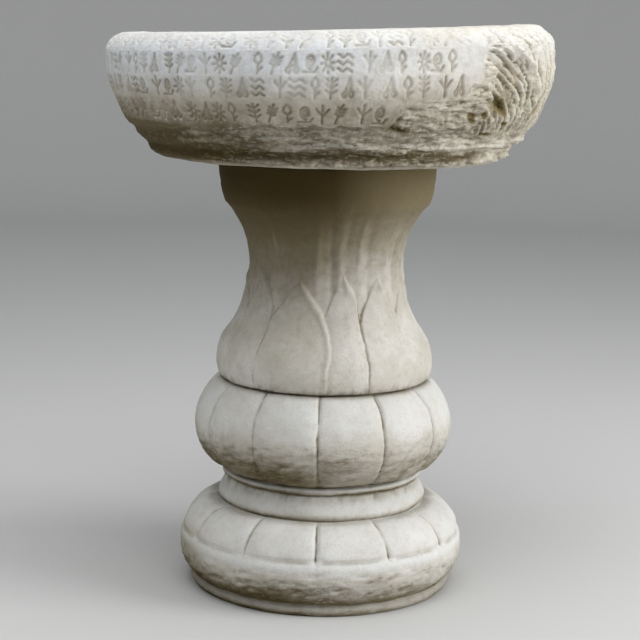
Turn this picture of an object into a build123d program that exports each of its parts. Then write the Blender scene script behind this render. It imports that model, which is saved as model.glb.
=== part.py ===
from build123d import *

import os

# A bird bath in cast stone. A hollow baluster pedestal carries a rustic bowl, which turns and
# lifts off on a steel dowel. Millimetres, +Z up, origin on the ground under the pedestal's axis.
# Every outline is drawn as radius against height and turned round the Z axis.

# ---- Foot of the pedestal ----
plinth_radius = 137.0
plinth_height = 11.0
plinth_chamfer = 3.0
roll_foot_radius = 140.0  # where the fat roll starts, just over the plinth
roll_radius = 150.0
roll_belly_rise = 32.0  # from the plinth up to the roll's widest ring
roll_height = 47.0
petal_edge_radius = 146.5  # outer edge of the petals, on top of the roll
petal_height = 32.0
petal_crown = 7.5  # how far the petals stand out from a straight slope
collar_radius = 107.0
collar_waist_radius = 103.0
collar_height = 27.0
bead_height = 8.0
bead_crown = 3.0

# ---- Bulb, bell and cap of the pedestal ----
bulb_foot_radius = 105.0
bulb_radius = 133.5
bulb_head_radius = 108.0
bulb_height = 94.0
shadow_gap = 3.0  # the dark line between the bulb and the bell's hem
shadow_depth = 5.0
hem_radius = 108.5
bell_radius = 112.0
bell_belly_rise = 18.0  # from the hem up to the bell's widest ring
bell_shoulder_radius = 93.5
bell_shoulder_rise = 58.0
neck_radius = 80.0
neck_drop = 64.0  # from the foot of the cap down to the neck's narrowest ring
bell_height = 184.0
cap_foot_radius = 105.0
cap_radius = 113.5
cap_height = 44.0
cap_band = 22.0  # the upright part of the cap
cap_round = 4.0

# ---- Carving round the pedestal ----
groove_count = 12
groove_turn = -92.0  # direction of one groove, in degrees from +X
petal_groove_radius = 2.4
bulb_groove_radius = 2.8
groove_margin = 0.12  # share of each moulding left uncut at either end of its grooves

# ---- Hollow core of the pedestal ----
core_foot_radius = 92.0
core_head_radius = 44.0
core_head_round = 15.0
head_cover = 13.5  # stone between the core and the dowel's sleeve

# ---- Bowl ----
bowl_radius = 228.5
bowl_depth = 129.5  # from the seat to the rim, on the axis
seat_radius = 172.0
lip_radius = 184.0  # the broken lip round the underside
lip_height = 8.0
flank_height = 58.0  # from the seat to where the side turns upright
rim_rise = 18.0  # the rim stands this much higher at +X than at -X
rim_width = 38.5
rim_outer_round = 15.0
rim_inner_round = 10.0
socket_cover = 15.0  # stone between the dish and the dowel's sleeve

# ---- Dowel, its two sleeves and the bearing pad ----
dowel_radius = 8.0
dowel_in_pedestal = 48.0
dowel_in_bowl = 36.0
dowel_chamfer = 1.5
dowel_head_gap = 2.0  # air over the dowel, so that the bowl rests on its pad
turn_clearance = 0.08  # radial, dowel in the pedestal's sleeve
lift_clearance = 0.10  # radial, dowel in the bowl's sleeve
sleeve_wall = 4.0
sleeve_floor = 2.5
pad_thickness = 3.5
pad_radius = 78.0

# ---- Levels and fits that follow from the sizes above ----
roll_top = plinth_height + roll_height
petal_top = roll_top + petal_height
collar_top = petal_top + collar_height
bulb_bottom = collar_top + bead_height
bulb_top = bulb_bottom + bulb_height
hem_level = bulb_top + shadow_gap
cap_bottom = hem_level + bell_height
pedestal_top = cap_bottom + cap_height
seat_level = pedestal_top + pad_thickness
rim_level = seat_level + bowl_depth

dowel_bottom = pedestal_top - dowel_in_pedestal
dowel_top = seat_level + dowel_in_bowl
pedestal_bore_radius = dowel_radius + turn_clearance
pedestal_sleeve_radius = pedestal_bore_radius + sleeve_wall
pedestal_sleeve_bottom = dowel_bottom - sleeve_floor
bowl_bore_radius = dowel_radius + lift_clearance
bowl_sleeve_radius = bowl_bore_radius + sleeve_wall
bowl_bore_top = dowel_top + dowel_head_gap
bowl_sleeve_top = bowl_bore_top + sleeve_floor

core_top = pedestal_sleeve_bottom - head_cover
dish_floor = bowl_sleeve_top + socket_cover
dish_depth = rim_level - dish_floor
dish_mouth_radius = bowl_radius - rim_width
dish_sphere_radius = (dish_mouth_radius**2 + dish_depth**2) / (2 * dish_depth)
rim_plane = Plane(origin=(0, 0, rim_level), z_dir=(-rim_rise, 0, 2 * bowl_radius))


def petal_arc():
    """Slope of the petals, from the top of the roll in to the collar."""
    return SagittaArc((petal_edge_radius, roll_top), (collar_radius, petal_top), -petal_crown)


def bulb_arc():
    """Side of the bulb, from the bead up to the shadow line."""
    widest = (bulb_radius, (bulb_bottom + bulb_top) / 2)
    return ThreePointArc((bulb_foot_radius, bulb_bottom), widest, (bulb_head_radius, bulb_top))


def bell_curve():
    """Side of the bell and the neck, from the hem up to the foot of the cap."""
    return Spline(
        (hem_radius, hem_level),
        (bell_radius, hem_level + bell_belly_rise),
        (bell_shoulder_radius, hem_level + bell_shoulder_rise),
        (neck_radius, cap_bottom - neck_drop),
        (cap_foot_radius, cap_bottom),
    )


def groove_cutter(moulding_side, groove_radius):
    """Round-bottomed cutter that follows a moulding's side in one upright plane."""
    with BuildPart() as cutter:
        with BuildLine(Plane.XZ) as side:
            moulding_side()
        path = side.edge().trim(groove_margin, 1 - groove_margin)
        with BuildSketch(Plane(origin=path @ 0, z_dir=path % 0)):
            Circle(groove_radius)
        sweep(path=path)
    return cutter.part


# ---- Pedestal: one hollow casting, carved round the foot and the bulb ----
petal_cutter = groove_cutter(petal_arc, petal_groove_radius)
bulb_cutter = groove_cutter(bulb_arc, bulb_groove_radius)

with BuildPart() as pedestal:
    with BuildSketch(Plane.XZ):
        with BuildLine():
            Polyline(
                (0, pedestal_top),
                (0, 0),
                (plinth_radius - plinth_chamfer, 0),
                (plinth_radius, plinth_chamfer),
                (plinth_radius, plinth_height),
                (roll_foot_radius, plinth_height),
            )
            ThreePointArc(
                (roll_foot_radius, plinth_height),
                (roll_radius, plinth_height + roll_belly_rise),
                (petal_edge_radius, roll_top),
            )
            petal_arc()
            Line((collar_radius, petal_top), (collar_waist_radius, collar_top))
            SagittaArc((collar_waist_radius, collar_top), (bulb_foot_radius, bulb_bottom), -bead_crown)
            bulb_arc()
            Polyline(
                (bulb_head_radius, bulb_top),
                (bulb_head_radius - shadow_depth, (bulb_top + hem_level) / 2),
                (hem_radius, hem_level),
            )
            bell_curve()
            Polyline(
                (cap_foot_radius, cap_bottom),
                (cap_radius, pedestal_top - cap_band),
                (cap_radius, pedestal_top),
                (0, pedestal_top),
            )
        make_face()
    revolve(axis=Axis.Z)
    fillet(pedestal.edges().group_by(Axis.Z)[-1], cap_round)

    # the tapered core, open at the foot
    with BuildSketch(Plane.XZ):
        with BuildLine():
            Polyline((0, 0), (core_foot_radius, 0), (core_head_radius, core_top), (0, core_top), close=True)
        core_outline = make_face()
        fillet(core_outline.vertices().sort_by(SortBy.DISTANCE)[-1], core_head_round)
    revolve(axis=Axis.Z, mode=Mode.SUBTRACT)

    # the socket for the dowel's sleeve
    with BuildSketch(Plane.XY.offset(pedestal_top)):
        Circle(pedestal_sleeve_radius)
    extrude(amount=pedestal_sleeve_bottom - pedestal_top, mode=Mode.SUBTRACT)

    # the grooves that part the petals and the lobes of the bulb
    with PolarLocations(0, groove_count, start_angle=groove_turn):
        add(petal_cutter, mode=Mode.SUBTRACT)
        add(bulb_cutter, mode=Mode.SUBTRACT)

# ---- Pedestal sleeve: a cup set in the pedestal's head ----
with BuildPart() as pedestal_sleeve:
    with BuildSketch(Plane.XY.offset(pedestal_sleeve_bottom)):
        Circle(pedestal_sleeve_radius)
    extrude(amount=pedestal_top - pedestal_sleeve_bottom)
    with BuildSketch(Plane.XY.offset(dowel_bottom)):
        Circle(pedestal_bore_radius)
    extrude(amount=dowel_in_pedestal, mode=Mode.SUBTRACT)

# ---- Locating dowel: stands on the floor of the pedestal's sleeve ----
with BuildPart() as locating_dowel:
    with BuildSketch(Plane.XY.offset(dowel_bottom)):
        Circle(dowel_radius)
    extrude(amount=dowel_top - dowel_bottom)
    chamfer(locating_dowel.edges().filter_by(GeomType.CIRCLE), dowel_chamfer)

# ---- Bearing pad: gripped by the dowel, with the bowl's weight on it ----
with BuildPart() as bearing_pad:
    with BuildSketch(Plane.XY.offset(pedestal_top)):
        Circle(pad_radius)
        Circle(dowel_radius, mode=Mode.SUBTRACT)
    extrude(amount=pad_thickness)

# ---- Bowl sleeve: a cup set upside down in the bowl's underside ----
with BuildPart() as bowl_sleeve:
    with BuildSketch(Plane.XY.offset(seat_level)):
        Circle(bowl_sleeve_radius)
    extrude(amount=bowl_sleeve_top - seat_level)
    with BuildSketch(Plane.XY.offset(seat_level)):
        Circle(bowl_bore_radius)
    extrude(amount=bowl_bore_top - seat_level, mode=Mode.SUBTRACT)

# ---- Bowl: one casting with a sloping rim and a round dish square to it ----
with BuildPart() as bowl:
    with BuildSketch(Plane.XZ):
        with BuildLine():
            Polyline(
                (0, seat_level),
                (seat_radius, seat_level),
                (lip_radius, seat_level + lip_height),
                (bowl_radius, seat_level + flank_height),
                (bowl_radius, rim_level + rim_rise),
                (0, rim_level + rim_rise),
                close=True,
            )
        make_face()
    revolve(axis=Axis.Z)
    split(bisect_by=rim_plane, keep=Keep.BOTTOM)
    fillet(bowl.edges().group_by(Axis.Z)[-1], rim_outer_round)

    # the dish
    with Locations(rim_plane.offset(dish_sphere_radius - dish_depth)):
        Sphere(dish_sphere_radius, mode=Mode.SUBTRACT)
    dish = bowl.faces().filter_by(GeomType.SPHERE).sort_by(Axis.Z)[-1]
    fillet(dish.edges().filter_by(GeomType.CIRCLE), rim_inner_round)

    # the socket for the dowel's sleeve
    with BuildSketch(Plane.XY.offset(seat_level)):
        Circle(bowl_sleeve_radius)
    extrude(amount=bowl_sleeve_top - seat_level, mode=Mode.SUBTRACT)

pieces = {
    "pedestal": pedestal,
    "pedestal_sleeve": pedestal_sleeve,
    "locating_dowel": locating_dowel,
    "bearing_pad": bearing_pad,
    "bowl_sleeve": bowl_sleeve,
    "bowl": bowl,
}
os.makedirs("parts", exist_ok=True)
for name, piece in pieces.items():
    piece.part.label = name
    export_step(piece.part, f"parts/{name}.step")
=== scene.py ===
"""Cast-stone bird bath: a rough bowl on a carved, hollow pedestal, with a dowel and a bearing pad.

Lengths are metres, but the tables of points, grains, rows, rings, gashes and hollows give them in
millimetres. An azimuth is in degrees from the front (-Y) and grows towards +X. A girth is the distance
along a piece's outline. It is kept on every vertex, so that the carving can follow the outline.
"""
import logging
import math
import random
from collections.abc import Iterable, Sequence
from dataclasses import dataclass, field
from enum import Enum

import bmesh
import bpy
import numpy as np
from mathutils import Euler, Matrix, Vector, noise


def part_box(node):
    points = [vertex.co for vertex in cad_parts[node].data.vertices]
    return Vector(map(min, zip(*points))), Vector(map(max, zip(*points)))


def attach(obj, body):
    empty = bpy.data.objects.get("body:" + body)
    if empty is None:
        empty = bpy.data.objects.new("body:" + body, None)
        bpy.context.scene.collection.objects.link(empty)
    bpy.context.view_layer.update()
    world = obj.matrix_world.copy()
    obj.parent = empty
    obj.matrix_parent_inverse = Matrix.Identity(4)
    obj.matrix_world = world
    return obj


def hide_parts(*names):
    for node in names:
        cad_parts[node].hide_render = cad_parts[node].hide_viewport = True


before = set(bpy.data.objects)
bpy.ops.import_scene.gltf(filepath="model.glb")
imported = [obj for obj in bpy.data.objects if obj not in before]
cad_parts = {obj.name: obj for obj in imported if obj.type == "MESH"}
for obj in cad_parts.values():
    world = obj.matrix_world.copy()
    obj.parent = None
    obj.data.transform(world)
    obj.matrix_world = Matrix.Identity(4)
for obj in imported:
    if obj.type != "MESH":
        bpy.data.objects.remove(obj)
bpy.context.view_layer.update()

MM = 0.001
LIT_AZIMUTH = 75.0  # roughly the azimuth that the right-hand light comes from; painted shade is laid on the side away from it, where the stone is also crumbly
LOG = logging.getLogger("bird_bath")

Point = tuple[float, float]
Place = tuple[float, float, float]
Colour = tuple[float, float, float]
Stroke = Sequence[Point]


# ---------------------------------------------------------------- shaping tools


def metres(points: Iterable[Point]) -> list[Point]:
    """Points given in millimetres, in metres."""
    return [(MM * first, MM * second) for first, second in points]


def ease(values: np.ndarray, low: float | np.ndarray, high: float | np.ndarray) -> np.ndarray:
    """Smooth step from 0 at low to 1 at high; low may be above high."""
    share = np.clip((values - low) / (high - low), 0.0, 1.0)
    return share * share * (3.0 - 2.0 * share)


def bell(values: np.ndarray, centre: float | np.ndarray, width: float) -> np.ndarray:
    """Bump of height 1 at centre, gone a few widths away."""
    return np.exp(-(((values - centre) / width) ** 2))


def channel(distance: np.ndarray, width: float | np.ndarray) -> np.ndarray:
    """Round-bottomed channel, 1 deep in the middle and gone a width away on either side."""
    return np.clip(1.0 - (distance / width) ** 2, 0.0, 1.0) ** 1.5


def turn_between(azimuth: np.ndarray, centre: float) -> np.ndarray:
    """Signed angle from centre to azimuth, in degrees, the short way round."""
    return (azimuth - centre + 180.0) % 360.0 - 180.0


def toward(azimuth: np.ndarray, centre: float) -> np.ndarray:
    """Tell how far each azimuth faces one direction, from -1 to 1, without a seam at the back."""
    return np.cos(np.radians(azimuth - centre))


def between(values: np.ndarray, start: float, full: float, fading: float, end: float) -> np.ndarray:
    """Plateau: 0 up to start, 1 from full to fading, and 0 again from end on."""
    return ease(values, start, full) * ease(values, end, fading)


def halve(mesh: bmesh.types.BMesh, faces: Iterable[bmesh.types.BMFace]) -> None:
    """Cut every edge of some faces in two."""
    edges = {edge for face in faces for edge in face.edges}
    bmesh.ops.subdivide_edges(mesh, edges=list(edges), cuts=1, use_grid_fill=True)


def finished_mesh(name: str, form: bmesh.types.BMesh) -> bpy.types.Mesh:
    """Turn a finished form into a mesh, and let go of the form."""
    mesh = bpy.data.meshes.new(name)
    form.to_mesh(mesh)
    form.free()
    return mesh


def new_object(name: str, data: bpy.types.ID) -> bpy.types.Object:
    """New object in the scene that shows a mesh, a light or a camera."""
    thing = bpy.data.objects.new(name, data)
    bpy.context.scene.collection.objects.link(thing)
    return thing


def gap_to(spots: np.ndarray, line: np.ndarray) -> np.ndarray:
    """Distance of spots from a chain of straight runs.

    Args:
        spots: One row of two coordinates for each spot.
        line: The chain's points, in the same coordinates.

    Returns:
        One distance for each spot.
    """
    nearest = np.full(len(spots), np.inf)
    for start, end in zip(line, line[1:]):
        way = end - start
        share = np.clip((spots - start) @ way / max(way @ way, 1e-12), 0.0, 1.0)
        nearest = np.minimum(nearest, np.linalg.norm(spots - start - share[:, None] * way, axis=1))
    return nearest


@dataclass
class Outline:
    """Half section drawn in the XZ plane as a chain of vertices, ready to be spun round Z."""

    mesh: bmesh.types.BMesh
    step: float = 2.4 * MM
    girth: float = 0.0
    last: bmesh.types.BMVert | None = None

    def __post_init__(self) -> None:
        """Give the mesh a layer for the girth."""
        self.layer = self.mesh.verts.layers.float.new("girth")

    def _point(self, radius: float, height: float) -> None:
        """Add one vertex to the chain.

        Args:
            radius: Its distance from the axis.
            height: Its height.
        """
        vert = self.mesh.verts.new((max(radius, 0.0), 0.0, height))
        if self.last is not None:
            self.girth += (vert.co - self.last.co).length
            self.mesh.edges.new((self.last, vert))
        vert[self.layer] = self.girth
        self.last = vert

    def line(self, radius: float, height: float, step: float | None = None) -> "Outline":
        """Straight run to a point, or the chain's first vertex.

        Args:
            radius: Distance of the run's end from the axis.
            height: Height of the run's end.
            step: Greatest distance between vertices, where it isn't the outline's own.

        Returns:
            This outline.
        """
        if self.last is None:
            self._point(radius, height)
            return self
        start, end = self.last.co.copy(), Vector((radius, 0.0, height))
        count = max(1, round((end - start).length / (step or self.step)))
        for i in range(1, count + 1):
            place = start.lerp(end, i / count)
            self._point(place.x, place.z)
        return self

    def arc(self, radius: float, height: float, crown: float, step: float | None = None) -> "Outline":
        """Round run to a point.

        Args:
            radius: Distance of the run's end from the axis.
            height: Height of the run's end.
            crown: How far the run stands out from a straight one, to the right of its way.
            step: Greatest distance between vertices, where it isn't the outline's own.

        Returns:
            This outline.
        """
        start, end = self.last.co.copy(), Vector((radius, 0.0, height))
        along = (end - start).normalized()
        out = Vector((along.z, 0.0, -along.x)) * math.copysign(1.0, crown)
        half, rise = (end - start).length / 2, abs(crown)
        bend = (half**2 + rise**2) / (2 * rise)
        centre = (start + end) / 2 + out * (rise - bend)
        sweep = 2 * math.atan2(rise, half)
        count = max(2, round(2 * sweep * bend / (step or self.step)))
        for i in range(1, count + 1):
            turn = sweep * (2 * i / count - 1)
            place = centre + (out * math.cos(turn) + along * math.sin(turn)) * bend
            self._point(place.x, place.z)
        return self

    def curve(self, points: Sequence[Point], step: float | None = None) -> "Outline":
        """Smooth run through points, from where the chain ends.

        Args:
            points: Radius and height of each point.
            step: Greatest distance between vertices, where it isn't the outline's own.

        Returns:
            This outline.
        """
        knots = [np.array((self.last.co.x, self.last.co.z)), *map(np.array, points)]
        knots = [2 * knots[0] - knots[1], *knots, 2 * knots[-1] - knots[-2]]
        for before, start, end, after in zip(knots, knots[1:], knots[2:], knots[3:]):
            count = max(1, round(float(np.linalg.norm(end - start)) / (step or self.step)))
            for i in range(1, count + 1):
                t = i / count
                place = 0.5 * (
                    2 * start
                    + (end - before) * t
                    + (2 * before - 5 * start + 4 * end - after) * t**2
                    + (3 * start - before - 3 * end + after) * t**3
                )
                self._point(float(place[0]), float(place[1]))
        return self

    def spin(self, columns: int) -> None:
        """Turn the chain round the Z axis, and close its seam and its poles.

        Args:
            columns: How many faces go round.
        """
        bmesh.ops.spin(
            self.mesh,
            geom=self.mesh.verts[:] + self.mesh.edges[:],
            cent=(0.0, 0.0, 0.0),
            axis=(0.0, 0.0, 1.0),
            angle=math.tau,
            steps=columns,
            use_merge=True,
        )
        bmesh.ops.remove_doubles(self.mesh, verts=self.mesh.verts, dist=0.01 * MM)
        bmesh.ops.recalc_face_normals(self.mesh, faces=self.mesh.faces)


class Grain(Enum):
    """Patterns of noise: three lengths of a grain, how many finer layers are added, and the seed.

    The lengths run along X, Y and Z, but the furrows' run out from the whorl's middle, round it and up.
    """

    BOWL_SWELL = ((60, 60, 45), 3, 1.0)
    BOWL_SKIN = ((5, 5, 5), 3, 2.0)
    BOWL_EDGE = ((20, 20, 20), 4, 3.0)
    BOWL_WEAR = ((40, 40, 40), 2, 9.0)
    BOWL_PATCHES = ((38, 38, 38), 3, 12.0)
    BEDS = ((75, 75, 8), 3, 4.0)
    LEDGES = ((62, 62, 9), 2, 14.0)
    FLAKES = ((14, 14, 3.4), 4, 5.0)
    GRIT = ((3.4, 3.4, 3.4), 3, 6.0)
    RIBS = ((13, 13, 95), 3, 7.0)
    FURROWS = ((7.5, 60, 1000), 3, 8.0)
    LINE_WANDER = ((30, 30, 30), 3, 1.0)
    PEDESTAL_WEAR = ((24, 24, 24), 3, 2.0)
    PEDESTAL_SWELL = ((45, 45, 45), 2, 3.0)
    PEDESTAL_SKIN = ((9, 9, 3.6), 4, 4.0)
    CHIPS = ((16, 16, 5), 4, 5.0)
    PEDESTAL_PATCHES = ((34, 34, 22), 3, 8.0)
    STREAKS = ((7, 7, 45), 3, 9.0)


class Relief:
    """Carving laid over a mesh: every vertex is pushed along its normal, all in one go."""

    SMOOTHNESS = 1.0
    LACUNARITY = 2.1
    SWING = 1.6  # brings the noise out to about -1 to 1

    def __init__(self, mesh: bpy.types.Mesh) -> None:
        """Read the mesh's places, normals, edges and girths.

        Args:
            mesh: The smooth form, with its girths.
        """
        self.mesh = mesh
        self.place = self._read("co")
        self.normal = self._read("normal")
        edges = np.empty(len(mesh.edges) * 2, np.int64)
        mesh.edges.foreach_get("vertices", edges)
        self.edges = edges.reshape(-1, 2)
        self.girth = np.empty(len(mesh.vertices), np.float32)
        mesh.attributes["girth"].data.foreach_get("value", self.girth)
        x, y, self.height = self.place.T
        self.radius = np.hypot(x, y)
        self.azimuth = np.degrees(np.arctan2(x, -y))
        self.facing = self.normal[:, 2]
        self.push = np.zeros(len(mesh.vertices))
        self.cut_grime_and_shade = np.zeros(len(mesh.vertices))  # how dark the cuts are: soiling gathered in them, and painted shade in the deep hollows

    def _read(self, name: str) -> np.ndarray:
        """One vector property of every vertex.

        Args:
            name: Blender's name for the property.

        Returns:
            A row for each vertex.
        """
        flat = np.empty(len(self.mesh.vertices) * 3, np.float64)
        self.mesh.vertices.foreach_get(name, flat)
        return flat.reshape(-1, 3)

    def grain(
        self, grain: Grain, where: np.ndarray | None = None, places: np.ndarray | None = None
    ) -> np.ndarray:
        """Fractal noise at the vertices, about -1 to 1.

        Args:
            grain: The pattern.
            where: Vertices that need it; the others get 0.
            places: Other coordinates to read the pattern at.

        Returns:
            One value for each vertex.
        """
        size, octaves, seed = grain.value
        source = self.place if places is None else places
        chosen = np.arange(len(source)) if where is None else np.flatnonzero(where)
        rows = (source[chosen] / (MM * np.array(size)) + seed).tolist()
        out = np.zeros(len(source))
        out[chosen] = [
            noise.fractal(row, self.SMOOTHNESS, self.LACUNARITY, octaves, noise_basis="PERLIN_ORIGINAL")
            for row in rows
        ]
        return out * self.SWING

    def spread(self, values: np.ndarray, rounds: int) -> np.ndarray:
        """Average a value with its neighbours along the mesh's edges.

        Args:
            values: One value for each vertex.
            rounds: How many times over.

        Returns:
            The smoothed values.
        """
        first, second = self.edges.T
        share = np.bincount(first, minlength=len(values)) + np.bincount(second, minlength=len(values))
        for _ in range(rounds):
            total = np.bincount(first, values[second], len(values))
            total += np.bincount(second, values[first], len(values))
            values = 0.5 * values + 0.5 * total / np.maximum(share, 1)
        return values

    def darken_cuts(self, values: np.ndarray) -> None:
        """Darken the cuts this much, where they aren't darker already: soiling, and painted shade in the deep
        hollows.
        """
        self.cut_grime_and_shade = np.maximum(self.cut_grime_and_shade, values)

    def layer(self, name: str, values: np.ndarray) -> None:
        """Keep a value from 0 to 1 on the mesh, for its material to read."""
        attribute = self.mesh.attributes.new(name, "FLOAT", "POINT")
        attribute.data.foreach_set("value", np.clip(values, 0.0, 1.0).astype(np.float32))

    def apply(self, hollow_depth: float, rounds: int = 10) -> None:
        """Move the vertices, and record where the surface lies low or stands proud.

        Args:
            hollow_depth: Depth below the surface around it that counts as a full hollow.
            rounds: How far round a vertex its surface is averaged.
        """
        low = (self.spread(self.push, rounds) - self.push) / hollow_depth
        self.layer("hollow", low)
        self.layer("crest", -low)
        self.place += self.normal * self.push[:, None]
        self.mesh.vertices.foreach_set("co", self.place.ravel())
        self.mesh.update()
        self.facing = self._read("normal")[:, 2]


# ---------------------------------------------------------------- finishes


class Graph:
    """Short way to write a material's node tree."""

    def __init__(self, name: str) -> None:
        """Start a material that holds only its Principled shader and its output.

        Args:
            name: Name of the new material.
        """
        self.material = bpy.data.materials.new(name)
        self.material.use_nodes = True
        self.tree = self.material.node_tree
        self.tree.nodes.clear()
        self.shader = self.node("ShaderNodeBsdfPrincipled")
        output = self.node("ShaderNodeOutputMaterial")
        self.tree.links.new(self.shader.outputs[0], output.inputs["Surface"])
        self.place = self.node("ShaderNodeTexCoord").outputs["Object"]

    def node(self, kind: str, **settings: object) -> bpy.types.Node:
        """Add a node.

        Args:
            kind: Blender's name for its type.
            settings: Properties to set on it.

        Returns:
            The node.
        """
        node = self.tree.nodes.new(kind)
        for key, value in settings.items():
            setattr(node, key, value)
        return node

    def feed(self, socket: bpy.types.NodeSocket, value: object) -> None:
        """Link a socket to another node's output, or set it.

        Args:
            socket: The input to fill.
            value: Another node's output, a number, a colour or a vector.
        """
        if isinstance(value, bpy.types.NodeSocket):
            self.tree.links.new(value, socket)
        elif isinstance(value, tuple) and len(value) == 3 and socket.type == "RGBA":
            socket.default_value = (*value, 1.0)
        else:
            socket.default_value = value

    def noise(
        self, size: float, detail: float = 3.0, roughness: float = 0.55, stretch: Place = (1.0, 1.0, 1.0)
    ) -> bpy.types.NodeSocket:
        """Noise from 0 to 1 on Object coordinates.

        Args:
            size: Length of one blotch.
            detail: How many finer layers are added.
            roughness: How strong the finer layers are.
            stretch: How many times longer a blotch is along X, Y and Z.

        Returns:
            The noise's value.
        """
        mapping = self.node("ShaderNodeMapping")
        mapping.inputs["Scale"].default_value = [1.0 / s for s in stretch]
        self.feed(mapping.inputs["Vector"], self.place)
        node = self.node("ShaderNodeTexNoise")
        self.feed(node.inputs["Vector"], mapping.outputs[0])
        node.inputs["Scale"].default_value = 1.0 / size
        node.inputs["Detail"].default_value = detail
        node.inputs["Roughness"].default_value = roughness
        return node.outputs["Fac"]

    def pores(self, size: float, reach: float) -> bpy.types.NodeSocket:
        """Small round spots from 0 to 1.

        Args:
            size: Distance from one spot to the next.
            reach: Share of that distance that a spot's radius takes up.

        Returns:
            1 in the middle of a spot, 0 outside it.
        """
        node = self.node("ShaderNodeTexVoronoi")
        self.feed(node.inputs["Vector"], self.place)
        node.inputs["Scale"].default_value = 1.0 / size
        return self.scale(node.outputs["Distance"], reach, 0.0)

    def scale(
        self, value: bpy.types.NodeSocket, low: float, high: float, to: Point = (0.0, 1.0)
    ) -> bpy.types.NodeSocket:
        """Carry a range smoothly over to another one.

        Args:
            value: What is carried over.
            low: Where the range starts.
            high: Where it ends.
            to: What its two ends become.

        Returns:
            The value in its new range.
        """
        node = self.node("ShaderNodeMapRange", interpolation_type="SMOOTHSTEP")
        self.feed(node.inputs["Value"], value)
        for socket, number in zip(("From Min", "From Max", "To Min", "To Max"), (low, high, *to)):
            node.inputs[socket].default_value = number
        return node.outputs[0]

    def mix(self, share: object, first: object, second: object, blend: str = "MIX") -> bpy.types.NodeSocket:
        """Blend two colours.

        Args:
            share: How much of the second colour shows, from 0 to 1.
            first: Colour, or the socket that gives it.
            second: Colour, or the socket that gives it.
            blend: Blender's name for the way of blending.

        Returns:
            The blended colour.
        """
        node = self.node("ShaderNodeMix", data_type="RGBA", blend_type=blend)
        self.feed(node.inputs[0], share)
        self.feed(node.inputs[6], first)
        self.feed(node.inputs[7], second)
        return node.outputs[2]

    def math(self, operation: str, first: object, second: object = 0.0) -> bpy.types.NodeSocket:
        """Arithmetic on one or two values.

        Args:
            operation: Blender's name for it.
            first: Number, or the socket that gives it.
            second: Number, or the socket that gives it.

        Returns:
            The result.
        """
        node = self.node("ShaderNodeMath", operation=operation)
        self.feed(node.inputs[0], first)
        self.feed(node.inputs[1], second)
        return node.outputs[0]

    def attribute(self, name: str) -> bpy.types.NodeSocket:
        """A value kept on the mesh."""
        return self.node("ShaderNodeAttribute", attribute_name=name).outputs["Fac"]

    def bump(self, height: object, depth: float, under: object = None) -> bpy.types.NodeSocket:
        """Normal of an uneven surface.

        Args:
            height: Its height, from 0 to 1.
            depth: How far 0 lies below 1.
            under: Normal that it is laid over, if there is one.

        Returns:
            The new normal.
        """
        node = self.node("ShaderNodeBump")
        node.inputs["Strength"].default_value = 1.0
        node.inputs["Distance"].default_value = depth
        self.feed(node.inputs["Height"], height)
        if under is not None:
            self.feed(node.inputs["Normal"], under)
        return node.outputs[0]

    def finish(self, **sockets: object) -> bpy.types.Material:
        """Fill the shader's sockets.

        Args:
            sockets: What each one gets, by its name with underscores for spaces.

        Returns:
            The finished material.
        """
        for name, value in sockets.items():
            self.feed(self.shader.inputs[name.replace("_", " ")], value)
        return self.material


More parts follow.
